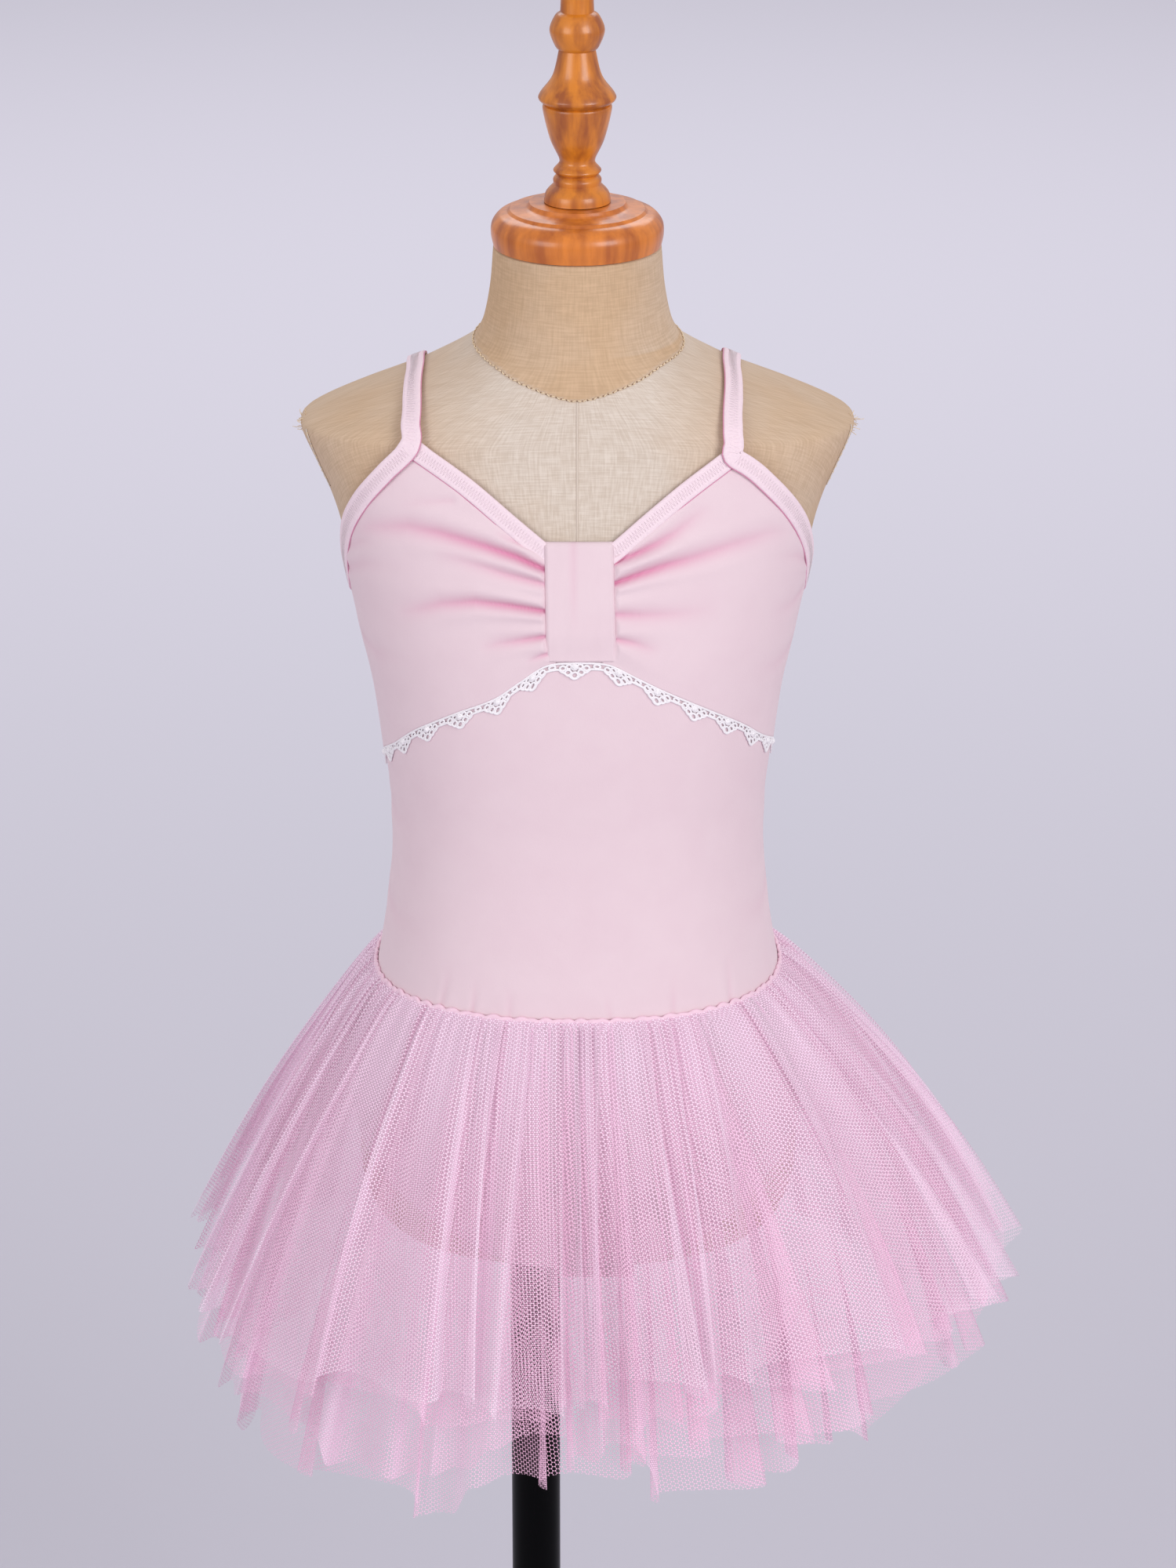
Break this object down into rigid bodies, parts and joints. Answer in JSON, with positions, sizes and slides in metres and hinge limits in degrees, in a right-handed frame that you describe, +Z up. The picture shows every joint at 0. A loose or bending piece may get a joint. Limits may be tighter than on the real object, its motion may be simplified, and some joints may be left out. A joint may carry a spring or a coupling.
{
  "type": "ballet dress on dress form",
  "caption": "Child's ballet dress with a strappy gathered bodice, pointed lace trim and a layered tulle skirt, resting on a limbless dress form with a pole stand.",
  "frame": {"origin": "on the floor, on the flat underside of the stand's base, below the middle of the dress form", "axes": "+Z up, the dress faces -Y, +X to the viewer's right as one looks at the front of the dress"},
  "size_m": [0.4208, 0.3946, 1.1312],
  "materials": {
    "jersey": "matt cotton jersey",
    "binding": "matt elastic binding",
    "tulle": "fine soft net",
    "lace": "cotton crochet lace",
    "linen": "plain linen",
    "finial_wood": "satin lacquer",
    "cap_wood": "satin lacquer",
    "black_metal": "gloss black enamel"
  },
  "bodies": {
    "root": {"bust_left": "jersey", "bust_right": "jersey", "centre_band": "jersey", "midriff_front": "jersey", "back_panel": "jersey", "brief_front": "jersey", "brief_back": "jersey", "brief_gusset": "jersey", "neck_binding_left": "binding", "neck_binding_right": "binding", "armhole_strap_left": "binding", "armhole_strap_right": "binding", "back_binding": "binding", "lace_trim": "lace", "skirt_tier_outer": "tulle", "skirt_tier_middle": "tulle", "skirt_tier_inner": "tulle", "form_torso": "linen", "neck_cap": "cap_wood", "finial": "finial_wood", "pole": "black_metal", "pole_collar": "black_metal", "base": "black_metal"}
  },
  "joints": []
}
